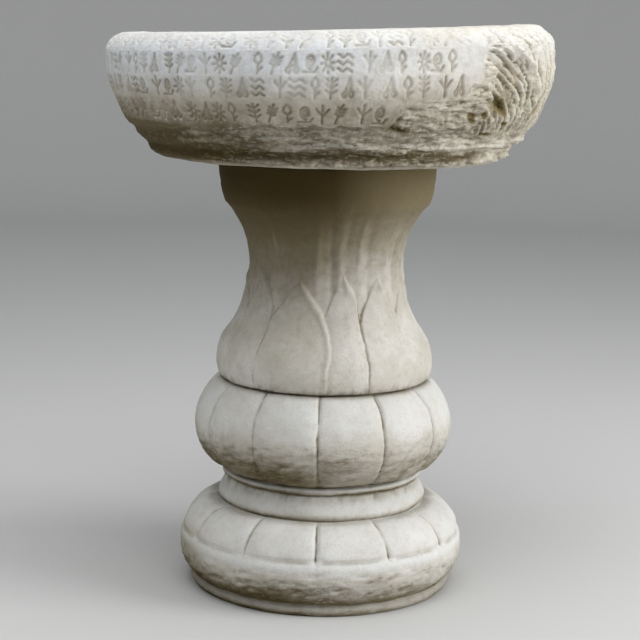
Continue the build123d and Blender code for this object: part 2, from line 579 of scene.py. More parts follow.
@dataclass(frozen=True)
class CastStone:
    """Weathered cast stone.

    It reads six values kept on the mesh: hollows, crests, stains with painted shade, painted shade with
    soiling in the cuts, bleaching and crumbling.
    """

    body: Colour
    pale: Colour
    dull: Colour
    # Colour for soiling in hollows, crumbs and pores, which also lays painted shade in the hollows.
    dirt_and_shade: Colour
    # Colour of the stains, which also lays painted shade under the bowl, on undersides and on the side away
    # from the right-hand light.
    stain_and_shade_tone: Colour
    bleached: Colour
    shade_and_grime_tint: Colour = (0.40, 0.345, 0.19)  # multiplied into the colour where painted shade is laid, and where soiling sits in the cuts
    patchiness: float = 1.0
    blotch: float = 42 * MM
    mottle: float = 8 * MM
    speckle: float = 2.2 * MM
    sand: float = 0.9 * MM
    pore: float = 6.5 * MM
    grit_depth: float = 0.32 * MM
    crumb: float = 3.0 * MM
    crumb_depth: float = 2.4 * MM

    def material(self, name: str) -> bpy.types.Material:
        """Build the stone.

        Args:
            name: Name of the new material.

        Returns:
            The material.
        """
        g = Graph(name)
        blotch, mottle = g.noise(self.blotch, 4.0), g.noise(self.mottle, 4.0, 0.62)
        speckle, sand = g.noise(self.speckle, 3.0, 0.65), g.noise(self.sand, 2.0, 0.7)
        tone = g.mix(g.scale(blotch, 0.36, 0.66), self.body, self.pale)
        tone = g.mix(g.scale(mottle, 0.46, 0.78, (0.0, 0.5)), tone, self.dull)
        washed = g.math("MULTIPLY", g.attribute("bleach"), g.scale(mottle, 0.62, 0.4, (0.72, 1.0)))
        tone = g.mix(washed, tone, self.bleached)
        stain_and_shade = g.attribute("stain_and_shade")
        swing = (-0.45 * self.patchiness, 0.45 * self.patchiness)
        uneven = g.math("ADD", g.scale(mottle, 0.3, 0.7, swing), g.scale(speckle, 0.3, 0.7, swing))
        edge = g.math("MULTIPLY", stain_and_shade, g.math("SUBTRACT", 1.0, stain_and_shade))
        stain_and_shade_mottled = g.math("ADD", stain_and_shade, g.math("MULTIPLY", uneven, edge))
        # Stains, with painted shade: the bowl's shadow under it, the undersides, and the side away from the
        # right-hand light.
        tone = g.mix(stain_and_shade_mottled, tone, self.stain_and_shade_tone)
        # Painted shade in the hollows, darker than the light makes them, with the soiling that gathers there.
        tone = g.mix(g.scale(g.attribute("hollow"), 0.08, 1.0, (0.0, 0.78)), tone, self.dirt_and_shade)
        tone = g.mix(g.scale(g.attribute("crest"), 0.12, 1.0, (0.0, 0.42)), tone, self.pale)
        crumble, crumbs = g.attribute("crumble"), g.noise(self.crumb, 3.0, 0.6, (2.4, 2.4, 0.8))
        tone = g.mix(g.math("MULTIPLY", crumble, g.scale(crumbs, 0.47, 0.30, (0.0, 0.85))), tone, self.dirt_and_shade)
        tone = g.mix(g.math("MULTIPLY", crumble, g.scale(crumbs, 0.53, 0.70, (0.0, 0.6))), tone, self.pale)
        # Painted shade, deepest under the bowl and away from the right-hand light, with soiling in the cuts
        # and a painted shadow in the deep hollows.
        tone = g.mix(g.attribute("shade_and_grime"), tone, g.mix(1.0, tone, self.shade_and_grime_tint, "MULTIPLY"))
        pores = g.math("MULTIPLY", g.pores(self.pore, 0.13), g.scale(blotch, 0.45, 0.6))
        tone = g.mix(g.math("MULTIPLY", pores, 0.45), tone, self.dirt_and_shade)
        tone = g.mix(1.0, tone, g.mix(speckle, (0.90, 0.89, 0.88), (1.10, 1.11, 1.12)), "MULTIPLY")
        tone = g.mix(1.0, tone, g.mix(sand, (0.88, 0.88, 0.88), (1.12, 1.12, 1.12)), "MULTIPLY")
        broken = g.bump(g.math("MULTIPLY", crumble, crumbs), self.crumb_depth)
        coarse = g.bump(mottle, 1.2 * self.grit_depth, broken)
        medium = g.bump(speckle, 1.1 * self.grit_depth, coarse)
        fine = g.bump(sand, 0.7 * self.grit_depth, medium)
        holed = g.bump(g.math("SUBTRACT", 1.0, pores), 0.5 * MM, fine)
        rough = g.scale(sand, 0.2, 0.8, (0.84, 0.97))
        return g.finish(Base_Color=tone, Roughness=rough, Normal=holed, Specular_IOR_Level=0.2)


@dataclass(frozen=True)
class BrushedSteel:
    """Stainless bar with a drawn grain along its length."""

    colour: Colour = (0.60, 0.60, 0.61)
    grain: float = 0.25 * MM

    def material(self, name: str) -> bpy.types.Material:
        """Build the steel.

        Args:
            name: Name of the new material.

        Returns:
            The material.
        """
        g = Graph(name)
        grain = g.noise(self.grain, 2.0, 0.5, (1.0, 1.0, 60.0))
        smear = g.noise(9 * MM, 3.0)
        tone = g.mix(g.scale(smear, 0.35, 0.7), self.colour, tuple(0.82 * c for c in self.colour))
        rough = g.math("ADD", g.scale(grain, 0.2, 0.8, (0.22, 0.34)), g.scale(smear, 0.4, 0.8, (0.0, 0.1)))
        normal = g.bump(grain, 0.02 * MM)
        return g.finish(Base_Color=tone, Metallic=1.0, Roughness=rough, Normal=normal)


@dataclass(frozen=True)
class Moulded:
    """Moulded plastic or rubber: one dark colour, a fine skin, and dust in patches."""

    colour: Colour
    dust: Colour
    roughness: float
    skin: float = 0.5 * MM

    def material(self, name: str) -> bpy.types.Material:
        """Build the plastic or rubber.

        Args:
            name: Name of the new material.

        Returns:
            The material.
        """
        g = Graph(name)
        skin, patch = g.noise(self.skin, 2.0), g.noise(14 * MM, 4.0, 0.6)
        tone = g.mix(g.scale(patch, 0.45, 0.75, (0.0, 0.5)), self.colour, self.dust)
        rough = g.scale(patch, 0.3, 0.7, (self.roughness, min(1.0, self.roughness + 0.2)))
        return g.finish(Base_Color=tone, Roughness=rough, Normal=g.bump(skin, 0.05 * MM))


STEEL = BrushedSteel()
SLEEVE_PLASTIC = Moulded(colour=(0.022, 0.022, 0.024), dust=(0.16, 0.14, 0.11), roughness=0.5)
NEOPRENE = Moulded(colour=(0.012, 0.012, 0.012), dust=(0.10, 0.085, 0.06), roughness=0.78)
BOWL_STONE = CastStone(
    body=(0.50, 0.455, 0.375),
    pale=(0.66, 0.62, 0.53),
    dull=(0.37, 0.325, 0.255),
    dirt_and_shade=(0.14, 0.11, 0.068),
    stain_and_shade_tone=(0.150, 0.120, 0.068),
    bleached=(0.73, 0.755, 0.79),
)
PEDESTAL_STONE = CastStone(
    body=(0.55, 0.52, 0.455),
    pale=(0.655, 0.63, 0.585),
    dull=(0.43, 0.395, 0.33),
    dirt_and_shade=(0.175, 0.14, 0.095),
    stain_and_shade_tone=(0.145, 0.112, 0.052),
    bleached=(0.655, 0.655, 0.635),
    patchiness=0.4,
    crumb_depth=1.2 * MM,
)


# ---------------------------------------------------------------- ornament


def ring(centre: Point, radius: float, count: int = 10) -> Stroke:
    """Closed round stroke of a number of runs."""
    turns = (math.tau * i / count for i in range(count + 1))
    return [(centre[0] + radius * math.cos(t), centre[1] + radius * math.sin(t)) for t in turns]


class Motif(Enum):
    """Garden signs cut in rows on the bowl's face, each drawn in a box one unit high and wide."""

    SUN = "sun"
    TRACK = "bird track"
    SPRIG = "sprig"
    RIPPLE = "ripple"
    BUD = "bud"
    SNAIL = "snail"
    FEATHER = "feather"
    BERRIES = "berries"

    def strokes(self) -> list[Stroke]:
        """Draw the motif.

        Returns:
            Lines that it is cut with, Y up, centred on the origin.
        """
        match self:
            case Motif.SUN:
                rays = [(math.cos(math.tau * i / 8), math.sin(math.tau * i / 8)) for i in range(8)]
                return [ring((0, 0), 0.18), *([(0.3 * x, 0.3 * y), (0.5 * x, 0.5 * y)] for x, y in rays)]
            case Motif.TRACK:
                return [[(0, -0.5), (0, 0.5)], [(-0.42, 0.3), (0, -0.12), (0.42, 0.3)]]
            case Motif.SPRIG:
                leaves = [[(0, y), (side * 0.36, y + 0.2)] for y in (-0.3, -0.02, 0.24) for side in (-1, 1)]
                return [[(0, -0.5), (0, 0.5)], *leaves]
            case Motif.RIPPLE:
                steps = [i / 10 - 0.5 for i in range(11)]
                return [[(x, y + 0.08 * math.sin(3 * math.pi * x)) for x in steps] for y in (-0.34, 0, 0.34)]
            case Motif.BUD:
                side = [(0, -0.08), (0.27, 0.12), (0.2, 0.34), (0, 0.5)]
                mirrored = [(-x, y) for x, y in side]
                return [side, mirrored, [(0, -0.5), (0, -0.08)], [(0, -0.42), (0.3, -0.22)]]
            case Motif.SNAIL:
                turns = [(math.tau * i / 12, 0.05 + 0.03 * math.tau * i / 12) for i in range(22)]
                shell = [(r * math.cos(t), 0.08 + r * math.sin(t)) for t, r in turns]
                return [shell, [(-0.5, -0.44), (0.3, -0.44), (0.5, -0.2)]]
            case Motif.FEATHER:
                roots = [(-0.06 + 0.1 * i, -0.16 + 0.17 * i) for i in range(3)]
                left = [[(x, y), (x - 0.24, y + 0.2)] for x, y in roots]
                right = [[(x + 0.06, y + 0.02), (x + 0.34, y + 0.1)] for x, y in roots]
                return [[(-0.28, -0.5), (-0.06, -0.1), (0.06, 0.2), (0.26, 0.5)], *left, *right]
            case Motif.BERRIES:
                fruit = [(-0.26, -0.32), (0.24, -0.3), (0.02, 0.02)]
                stems = [[(x, y + 0.16), (0.1, 0.5)] for x, y in fruit]
                return [ring(f, 0.15, 8) for f in fruit] + stems


@dataclass(frozen=True)
class Row:
    """One line of motifs: girth of its middle below the rim's crest, its height, and its ends."""

    girth: float
    height: float
    first: float
    last: float


@dataclass
class Frieze:
    """Rows of small motifs, set in uneven groups as a hand would space them."""

    rows: Sequence[Row]
    radius: float
    spots: np.ndarray  # for each vertex, how far it lies round the bowl, and its girth below the crest
    gap: float = 7 * MM
    seed: int = 11
    placed: int = 0

    def distance(self) -> np.ndarray:
        """Draw every row.

        Returns:
            Distance of each vertex from the nearest stroke; a large one far from every row.
        """
        dice = random.Random(self.seed)
        self.nearest = np.ones(len(self.spots))
        for row in self.rows:
            spot, last = (math.radians(a) * self.radius for a in (row.first, row.last))
            motif = None
            while spot < last:
                for _ in range(dice.randint(3, 6)):
                    motif = dice.choice([m for m in Motif if m is not motif])
                    width = row.height * dice.uniform(0.62, 0.8)
                    if spot + width > last:
                        break
                    middle = (spot + width / 2, row.girth + dice.uniform(-0.5, 0.5) * MM)
                    self._draw(motif, middle, (width, row.height), dice.uniform(-4, 4))
                    spot += width + dice.uniform(1.6, 3.0) * MM
                spot += self.gap
        return self.nearest

    def _draw(self, motif: Motif, middle: Point, size: Point, lean: float) -> None:
        """Bring the distances near one motif up to date.

        Args:
            motif: What is drawn.
            middle: Where, round the bowl and down.
            size: Its width and height.
            lean: How far it leans, in degrees.
        """
        offset = (self.spots - middle) * (1.0, -1.0)
        near = np.flatnonzero((abs(offset) < 0.8 * size[1]).all(axis=1))
        if not len(near):
            return
        spots = offset[near] @ np.array(Matrix.Rotation(math.radians(lean), 2))
        for stroke in motif.strokes():
            self.nearest[near] = np.minimum(self.nearest[near], gap_to(spots, np.array(stroke) * size))
        self.placed += 1


@dataclass(frozen=True)
class Gash:
    """A long cut in the rough stone, or a rib where its depth is below zero; lengths in millimetres."""

    way: tuple[Point, ...]  # azimuth in degrees, and girth below the rim's crest
    width: float
    depth: float


@dataclass(frozen=True)
class Hollow:
    """A deep oval hole in the rough stone; lengths in millimetres, angles in degrees."""

    azimuth: float
    girth: float
    long: float
    wide: float
    lean: float
    depth: float


WHORL = (
    Gash(((43, 32), (47, 32), (51, 36), (56.5, 46), (60.5, 60), (62.5, 74), (61.5, 89)), 6.5, -3.6),
    Gash(((50, 43), (54, 52), (57.5, 64), (59.5, 78), (58, 90)), 2.6, 2.4),
    Gash(((45, 45), (49, 50), (52, 57)), 2.4, 1.7),
    Gash(((43.5, 55), (47, 63), (50, 71), (52.5, 82)), 2.6, 2.0),
    Gash(((48, 58), (52, 67), (55, 77), (56.5, 87)), 3.0, 2.2),
    Gash(((52, 56), (55, 63), (57, 72)), 3.2, 1.9),
    Gash(((43, 64), (45, 70), (47, 76)), 2.2, 1.4),
    Gash(((51, 84), (53, 92), (54, 100)), 2.4, 1.6),
    Gash(((41, 3), (43.5, 13), (45, 24)), 3.4, 1.2),
    Gash(((47, 4), (51, 15), (56, 27), (59.5, 42)), 3.0, 1.6),
    Gash(((53, 3), (58, 15), (62, 29)), 2.8, 1.4),
    Gash(((59, 3), (63.5, 19), (66.5, 40)), 2.6, 1.5),
    Gash(((66, 10), (70, 28), (72.5, 48)), 2.8, 1.5),
    Gash(((76, 2), (79, 22), (80, 46), (79, 68)), 3.4, 1.2),
    Gash(((63, 54), (65, 70), (65.5, 88)), 6.2, 3.6),
    Gash(((84, 30), (91, 34), (98, 33)), 5.0, 1.8),
    Gash(((88, 10), (90, 44), (88, 88)), 4.0, 1.1),
    Gash(((97, 6), (99, 48), (98, 92)), 4.4, 1.6),
)
HOLLOWS = (
    Hollow(46.8, 84, 17, 6.0, -33.0, 8),
    Hollow(67.0, 88, 15, 9.0, 10.0, 8),
    Hollow(38.0, 95, 6, 4.0, -40.0, 2.8),
    Hollow(42.0, 92, 5, 3.6, -30.0, 2.6),
    Hollow(52.0, 104, 4, 3.2, 0.0, 2.4),
    Hollow(17.5, 106, 10, 3.4, 2.0, 4.5),
    Hollow(46.0, 114, 9, 2.4, 3.0, 3.0),
    Hollow(-160.0, 70, 13, 7, 70.0, 5),
    Hollow(141.0, 96, 15, 5, 20.0, 5),
)


# ---------------------------------------------------------------- pieces


@dataclass
class Casting:
    """A stone piece that stands for one CAD node."""

    node: str
    body: str
    slot: str
    stone: CastStone

    def shape(self, mesh: bmesh.types.BMesh) -> None:
        """Build the piece's smooth form."""
        raise NotImplementedError

    def carve(self, relief: Relief) -> None:
        """Carve the form's surface."""
        raise NotImplementedError

    def build(self) -> bpy.types.Object:
        """Make the piece, carve it, dress it and set it on its body.

        Returns:
            The piece's object.
        """
        form = bmesh.new()
        self.shape(form)
        mesh = finished_mesh(f"{self.node}_stone", form)
        self.carve(Relief(mesh))
        mesh.shade_smooth()
        mesh.materials.append(self.stone.material(f"{self.node}_cast_stone"))
        piece = new_object(f"{self.node}_casting", mesh)
        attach(piece, self.body)
        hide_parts(self.node)
        return piece


@dataclass
class Bowl(Casting):
    """Rustic bowl: a dressed face with four rows of motifs, and bark, ledges and hollows elsewhere."""

    seat_radius: float = 172 * MM
    lip_radius: float = 184 * MM
    depth: float = 129.5 * MM  # from the seat to the rim, on the axis
    # radius of the side, and height over the seat
    flank: tuple[Point, ...] = ((192, 21.5), (203, 34), (214, 46), (225.8, 69), (228.5, 87))
    rim_rise: float = 18 * MM
    rim_round: float = 20 * MM
    rear_sag: float = 5 * MM  # the rim's crest is a little lower behind
    rim_width: float = 38.5 * MM
    mouth_round: float = 5.5 * MM
    dish_depth: float = 74 * MM
    columns: int = 244
    step: float = 5.5 * MM
    face_first: float = -112.0
    face_last: float = 39.5
    # azimuth of the dressed face's lower edge, and its girth below the rim's crest
    face_edge: tuple[Point, ...] = (
        (-112, 112), (-50, 112), (-32, 110), (-27, 104), (15, 103), (18.5, 79), (32, 76), (36, 63), (40, 58),
    )
    # middle and height of each row of motifs, and how far it stays clear of face_first and motif_last
    rows: tuple[tuple[float, ...], ...] = (
        (16.5, 19, 4, 0), (40.5, 18.5, 2, 1.5), (63.2, 19, 3, 0.5), (89.5, 20, 5, 19),
    )
    motif_last: float = 35.5
    knot_last: float = 116.0
    fine_girth: float = 100 * MM  # below the rim's crest, where the finest part of the mesh gets narrower
    whorl_centre: Point = (130 * MM, 130 * MM)  # distance round the bowl, and girth below the crest
    whorl_turn: float = 120 * MM  # length that one radian round the whorl counts as
    whorl_climb: float = 0.05  # share of the height that counts
    stroke_width: float = 1.75 * MM
    stroke_depth: float = 1.7 * MM

    def __post_init__(self) -> None:
        """Take the places that other pieces depend on from the CAD model."""
        low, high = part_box(self.node)
        sleeve_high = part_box("bowl_sleeve")[1]
        self.seat, self.radius = low.z, high.x
        self.rim = self.seat + self.depth
        self.socket_radius, self.socket_top = sleeve_high.x, sleeve_high.z

    def shape(self, mesh: bmesh.types.BMesh) -> None:
        """Spin the half section, tilt the rim, and refine what will be carved.

        Args:
            mesh: Empty mesh to build in.
        """
        seat, rim, wide = self.seat, self.rim, self.radius
        outline = Outline(mesh, self.step)
        outline.line(0, self.socket_top).line(self.socket_radius, self.socket_top)
        outline.line(self.socket_radius, seat, 20 * MM).line(self.seat_radius, seat, 16 * MM)
        outline.arc(self.lip_radius, seat + 6 * MM, 2 * MM)
        self.lip = outline.girth
        outline.curve([(radius, seat + rise) for radius, rise in metres(self.flank)])
        outline.line(wide, rim - self.rim_round)
        quarter = self.rim_round * (1 - math.cos(math.pi / 4))
        outline.arc(wide - self.rim_round, rim, quarter, 3 * MM)
        self.crest = outline.girth
        mouth = wide - self.rim_width
        bend = (mouth**2 + self.dish_depth**2) / (2 * self.dish_depth)
        edge = mouth - self.mouth_round
        edge_depth = self.dish_depth - bend + math.sqrt(bend**2 - edge**2)
        outline.line(mouth + self.mouth_round, rim)
        outline.arc(edge, rim - edge_depth, 0.4 * self.mouth_round, 3 * MM)
        half = math.hypot(edge, self.dish_depth - edge_depth) / 2
        outline.arc(0, rim - self.dish_depth, math.sqrt(bend**2 - half**2) - bend, 10 * MM)
        outline.spin(self.columns)
        self._tilt(mesh)
        under = self.crest - self.lip + 8 * MM
        self._refine(mesh, (-4 * MM, under), (-180.0, 180.0))
        self._refine(mesh, (0.0, self.fine_girth), (self.face_first, self.knot_last))
        self._refine(mesh, (self.fine_girth, under), (-75.0, 80.0))

    def _tilt(self, mesh: bmesh.types.BMesh) -> None:
        """Raise the rim towards +X, less and less down to the level seat."""
        slope, sag = self.rim_rise / (2 * self.radius), self.rear_sag / self.radius
        for vert in mesh.verts:
            share = max(0.0, (vert.co.z - self.seat) / (self.rim - self.seat))
            vert.co.z += share * (slope * vert.co.x - sag * max(0.0, vert.co.y))

    def _refine(self, mesh: bmesh.types.BMesh, down: Point, turn: Point) -> None:
        """Halve the faces of one part of the outside.

        Args:
            mesh: Mesh to refine.
            down: Least and greatest girth of the part below the rim's crest.
            turn: Its first and last azimuth.
        """
        girth = mesh.verts.layers.float["girth"]
        chosen = []
        for face in mesh.faces:
            middle = face.calc_center_median()
            at = self.crest - sum(vert[girth] for vert in face.verts) / len(face.verts)
            azimuth = math.degrees(math.atan2(middle.x, -middle.y))
            if down[0] < at < down[1] and turn[0] < azimuth < turn[1]:
                chosen.append(face)
        halve(mesh, chosen)

    def carve(self, relief: Relief) -> None:
        """Cut the motifs, the ledges, the bark whorl and its hollows, and weather the rest.

        Args:
            relief: The bowl's smooth surface.
        """
        down, turn = self.crest - relief.girth, relief.azimuth
        spots = np.column_stack((np.radians(turn) * self.radius, down))
        ragged = relief.grain(Grain.BOWL_EDGE)
        edge = np.interp(turn, *np.array(self.face_edge).T) * MM + 2.6 * MM * ragged
        face = ease(edge - down, 0.0, 2.4 * MM) * ease(down, -30 * MM, -20 * MM)
        first, last = self.face_first, self.face_last
        face *= between(turn + ragged, first - 2, first + 2, last - 1.2, last + 1.2)
        outside = ease(relief.girth, self.lip - 6 * MM, self.lip) * ease(down, -14 * MM, 4 * MM)
        rough = outside * (1 - face)

        rows = [
            Row(middle * MM, height * MM, first + late, self.motif_last - early)
            for middle, height, late, early in self.rows
        ]
        frieze = Frieze(rows, self.radius, spots)
        stroke = frieze.distance()
        LOG.info("bowl: %d motifs cut", frieze.placed)
        worn = np.clip(0.78 + 0.35 * relief.grain(Grain.BOWL_WEAR), 0.35, 1.1) * ease(face, 0.2, 0.9)
        worn *= 0.55 + 0.45 * ease(down, 8 * MM, 30 * MM)
        relief.push += 0.22 * MM * face * bell(stroke, 2.6 * MM, 0.8 * MM)
        relief.push -= self.stroke_depth * worn * channel(stroke, self.stroke_width)
        gathered = 0.15 + 0.35 * ease(down, 12 * MM, 36 * MM)
        relief.darken_cuts(np.clip(worn, 0, 1) * channel(stroke, 1.25 * self.stroke_width) * gathered)
        relief.push += 0.8 * MM * relief.grain(Grain.BOWL_SWELL) * (1 - 0.4 * face)
        relief.push += 0.14 * MM * face * relief.grain(Grain.BOWL_SKIN)
        relief.push += rough * self._rough_surface(relief, spots, edge)
        # the side is fuller low down, slopes straighter on the left, and loses its top corner on the right
        side, rise = np.sin(np.radians(turn)), relief.height - self.seat
        right, left = np.clip(side, 0, 1), np.clip(-side, 0, 1)
        fuller = 5.0 * right * bell(rise, 31 * MM, 18 * MM) + 4.0 * left * bell(rise, 26 * MM, 15 * MM)
        slimmer = 3.5 * left * bell(rise, 60 * MM, 22 * MM)
        rounded = 3.2 * bell(down, 13 * MM, 9 * MM) * ease(side, 0.72, 0.96)
        relief.push += MM * (fuller - slimmer - rounded) * ease(relief.girth, self.lip - 6 * MM, self.lip)
        relief.apply(1.7 * MM)
        self._weather(relief, down, face, rough)

    @staticmethod
    def _sides(turn: np.ndarray) -> tuple[np.ndarray, np.ndarray, np.ndarray]:
        """Tell the bowl's sides apart.

        Args:
            turn: Azimuth of each vertex.

        Returns:
            How far each vertex faces the right-hand light, from -1 to 1, how far it lies at the very back,
            and how crumbly its stone is, both from 0 to 1.
        """
        lit_side = toward(turn, LIT_AZIMUTH)
        return lit_side, ease(abs(turn), 140, 178), ease(lit_side, -0.6, -0.12)

    def _rough_surface(self, relief: Relief, spots: np.ndarray, edge: np.ndarray) -> np.ndarray:
        """Model the undressed stone.

        Args:
            relief: The bowl's smooth surface.
            spots: For each vertex, how far it lies round the bowl, and its girth below the crest.
            edge: Girth of the dressed face's lower edge at each vertex.

        Returns:
            Height over the smooth form.
        """
        turn, down = relief.azimuth, spots[:, 1]
        up, where = relief.girth - self.lip, down > -30 * MM
        beds, flakes, grit = (relief.grain(grain, where) for grain in (Grain.BEDS, Grain.FLAKES, Grain.GRIT))
        ledges, ribs = (1 - 2.2 * abs(relief.grain(grain, where)) for grain in (Grain.LEDGES, Grain.RIBS))

        # the whorl's furrows follow circles about a point low on its left
        way = (spots - self.whorl_centre) * (1.0, -1.0)
        round_it = self.whorl_turn * np.arctan2(way[:, 1], way[:, 0])
        places = np.column_stack((np.hypot(*way.T), round_it, self.whorl_climb * relief.height))
        furrows = 1 - 2.2 * abs(relief.grain(Grain.FURROWS, where, places))

        knot = between(turn, 37, 44, 96, 118) * ease(up, 24 * MM, 44 * MM)
        back = np.maximum(ease(turn, 96, 122), ease(turn, self.face_first + 4, self.face_first - 6))
        back *= ease(up, 30 * MM, 60 * MM)
        bedded = np.clip(1 - knot - back, 0, 1)
        _, behind, crumbly = self._sides(turn)
        height = bedded * (0.25 + 0.75 * crumbly) * (1.6 * MM * beds + 0.9 * MM * ledges + 1.5 * MM * flakes)
        deeper = 0.7 + 1.1 * ease(down, 18 * MM, 44 * MM)
        height += knot * (deeper * MM * furrows + 0.4 * MM * flakes - 0.2 * MM)
        relief.darken_cuts(0.5 * knot * ease(furrows, 0.25, -0.35) * ease(down, 26 * MM, 58 * MM))
        height += back * (1.9 * MM * ribs + 0.5 * MM * flakes)
        height += 0.5 * MM * grit - 0.9 * MM

        # an undercut below the face, one long ledge, a sunk band, and the lip
        banded = (0.3 + 0.7 * crumbly) * (1 - 0.8 * ease(turn, 48, 72) * (1 - behind))
        undercut = bedded * (0.45 + 0.55 * ease(turn, 30, 5)) * (0.35 + 0.65 * ease(turn, -70, -45))
        undercut *= ease(abs(turn), 150, 118)
        height -= 3.4 * MM * bell(down - edge, 6 * MM, 5 * MM) * undercut
        height += 2.0 * MM * bell(up, 19 * MM + 3 * MM * beds, 3.2 * MM) * banded * np.clip(0.6 + beds, 0, 1)
        height -= 2.4 * MM * bell(up, 7 * MM + 2 * MM * beds, 5 * MM) * banded
        height += (1.2 + 1.6 * flakes) * MM * bell(up, -1 * MM, 4 * MM) * (0.4 + 0.6 * crumbly)

        warped = spots + 1.2 * MM * np.column_stack((flakes, grit))
        for gash in WHORL:
            line = np.array([(math.radians(a) * self.radius, g * MM) for a, g in gash.way])
            cut = channel(gap_to(warped, line), gash.width * MM) * (0.85 + 0.3 * furrows)
            height -= 1.5 * gash.depth * MM * cut
            relief.darken_cuts(0.3 * gash.depth * cut)
        for hole in HOLLOWS:
            x, y = (warped - (math.radians(hole.azimuth) * self.radius, hole.girth * MM)).T / MM
            c, s = math.cos(math.radians(hole.lean)), math.sin(math.radians(hole.lean))
            away = np.hypot((x * c - y * s) / hole.long, (x * s + y * c) / hole.wide)
            height -= hole.depth * MM * ease(away, 1.2, 0.25)
            # Painted shade inside the hole, where the light reaches in.
            relief.darken_cuts(ease(away, 1.45, 0.75))
        return height

    def _weather(self, relief: Relief, down: np.ndarray, face: np.ndarray, rough: np.ndarray) -> None:
        """Keep where the stone is bleached by the rain, where it has stains, and where it crumbles, with
        painted shade laid on its undersides and on the side away from the right-hand light, and painted light
        on its right.

        Args:
            relief: The bowl's carved surface.
            down: Girth of each vertex below the rim's crest.
            face: 1 on the dressed face, 0 on the rough stone.
            rough: 1 on the undressed outside, 0 elsewhere.
        """
        turn, up, patches = relief.azimuth, relief.girth - self.lip, relief.grain(Grain.BOWL_PATCHES)
        inside, seat = ease(down, -38 * MM, -60 * MM), ease(up, 0.0, -6 * MM)
        lit_side, behind, crumbly = self._sides(turn)
        shaded_side = ease(lit_side, 0.17, -0.5)  # the left side and round to the back, away from the right-hand light, where painted shade is laid
        washed = ease(down + 6 * MM * patches, 86 * MM, 36 * MM) * (1 - 0.5 * ease(lit_side, 0.0, 0.77))
        knot = (1 - face) * ease(down, 56 * MM, 22 * MM)
        bleach = washed * (0.25 + 0.75 * np.maximum(face, knot)) + 0.12 * patches
        bleach *= 1 - 0.35 * ease(relief.facing, 0.25, 0.85)
        # Painted shade: the flank's undersides low down, and the left and the back away from the right-hand
        # light, are made darker, with some soiling; the right, where that light falls, is kept lighter as
        # painted light.
        underside_shade_and_dirt = ease(relief.facing, 0.12, -0.62) * ease(down, 66 * MM, 112 * MM)
        stain_and_shade = underside_shade_and_dirt * (0.5 + 0.3 * shaded_side) + (0.05 + 0.12 * shaded_side) * ease(down, 66 * MM, 96 * MM)
        stain_and_shade += 0.6 * ease(lit_side, -0.36, -0.68) * ease(down, 100 * MM, 112 * MM)
        stain_and_shade += 0.15 * rough * ease(down, 60 * MM, 92 * MM) * ease(lit_side, -0.42, 0.0)
        stain_and_shade *= 1 - 0.45 * between(turn, 25, 60, 95, 130)
        stain_and_shade += 0.3 * ease(turn, 2, 24) * ease(down, 54 * MM, 82 * MM) * face
        stain_and_shade += 0.18 * patches * ease(down, 40 * MM, 80 * MM)
        band = bell(up, 6 * MM + 2 * MM * patches, 5.5 * MM) * ease(turn, 62, 44) * (1 - behind)
        stain_and_shade += 0.85 * band - 0.5 * bell(up, 19 * MM, 4.5 * MM) * ease(turn, -8, 10) * (1 - behind)
        low = ease(relief.radius, 130 * MM, 40 * MM)
        stain_and_shade = np.maximum(stain_and_shade * (1 - inside), inside * (0.22 + 0.34 * low + 0.25 * patches))
        # Painted shade on the lower left, away from the right-hand light, together with the dark sunk band
        # and the soiling in the cuts.
        shade_and_grime = 0.5 * band + 0.6 * shaded_side * ease(up, 42 * MM, 20 * MM)
        shade_and_grime = np.maximum(shade_and_grime, relief.cut_grime_and_shade) * (1 - inside) * (1 - 0.5 * seat)
        dry = 1 - 0.6 * ease(turn, 36, 50) * (1 - behind)  # the whorl and the bark are firmer than the beds
        crumble = rough * (0.25 + 0.75 * crumbly) * dry * ease(down, 4 * MM, 30 * MM)
        relief.layer("bleach", bleach * (1 - inside) * (1 - seat))
        relief.layer("stain_and_shade", stain_and_shade * (1 - 0.4 * seat))
        relief.layer("shade_and_grime", shade_and_grime)
        relief.layer("crumble", crumble * (0.85 + 0.4 * patches))


@dataclass(frozen=True)
class Leaf:
    """One leaf of the bell, from the hem to its pointed tip."""

    left: float
    right: float
    reach: float
    fold: float  # how far its right edge is turned up, from 0 to 1
    tucked: float  # how far it runs on under the leaf to its left, in degrees

    @property
    def middle(self) -> float:
        """Azimuth of its tip."""
        return (self.left + self.right) / 2

    def inside(self, azimuth: np.ndarray, climb: np.ndarray, radius: np.ndarray) -> np.ndarray:
        """Measure in from the leaf's outline.

        Args:
            azimuth: Azimuth of each place.
            climb: Its height above the hem.
            radius: Its distance from the axis.

        Returns:
            Distance from the outline, below zero outside the leaf.
        """
        span, half = climb / self.reach, (self.right - self.left) / 2
        off = turn_between(azimuth, self.middle)
        left = np.clip((span - 0.6) / 0.4, 0.0, 1.0) ** 1.45
        low = 0.74 - 0.32 * self.fold
        right = np.clip((span - low) / (1 - low), 0.0, 1.0) ** (1.3 + 0.7 * self.fold)
        edge = np.where(off < 0, (half + self.tucked) * (1 - left), half * (1 - right))
        slant = 1 - 0.3 * ease(np.where(off < 0, left, right), 0.0, 0.4)
        return np.radians(edge - abs(off)) * radius * slant - np.maximum(climb - self.reach, 0.0)


